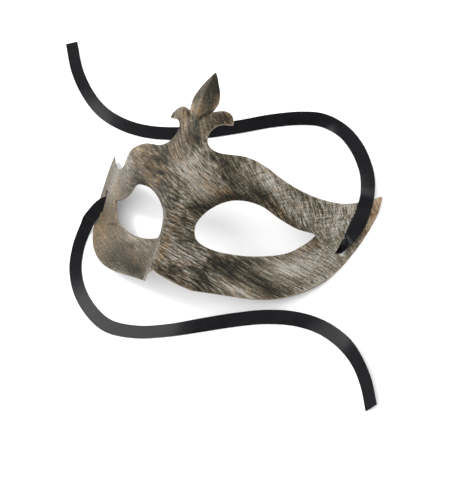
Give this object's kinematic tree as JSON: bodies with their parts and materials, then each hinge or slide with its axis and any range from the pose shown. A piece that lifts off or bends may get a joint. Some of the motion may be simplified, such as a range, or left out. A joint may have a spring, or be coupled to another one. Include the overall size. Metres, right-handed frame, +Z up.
{
  "type": "venetian eye mask",
  "caption": "Moulded venetian half mask with swept-up wings, almond eye holes, a nose ridge and a fleur-de-lis crest, tied on with flat ribbons.",
  "frame": {"origin": "centre of the mask's own bounding box on the surface it lies on, ribbons left out", "axes": "+Z up from the surface, +Y towards the crest, +X to the right as the front of the mask is looked at from the chin side"},
  "size_m": [0.3061, 0.1937, 0.0592],
  "materials": {
    "bronze_shell": "dry-brushed antique bronze paint, pale strokes over a dark olive ground",
    "black_ribbon": "black satin"
  },
  "bodies": {
    "root": {"mask_shell": "bronze_shell", "ribbon_upper": "black_ribbon", "ribbon_lower": "black_ribbon"}
  },
  "joints": []
}
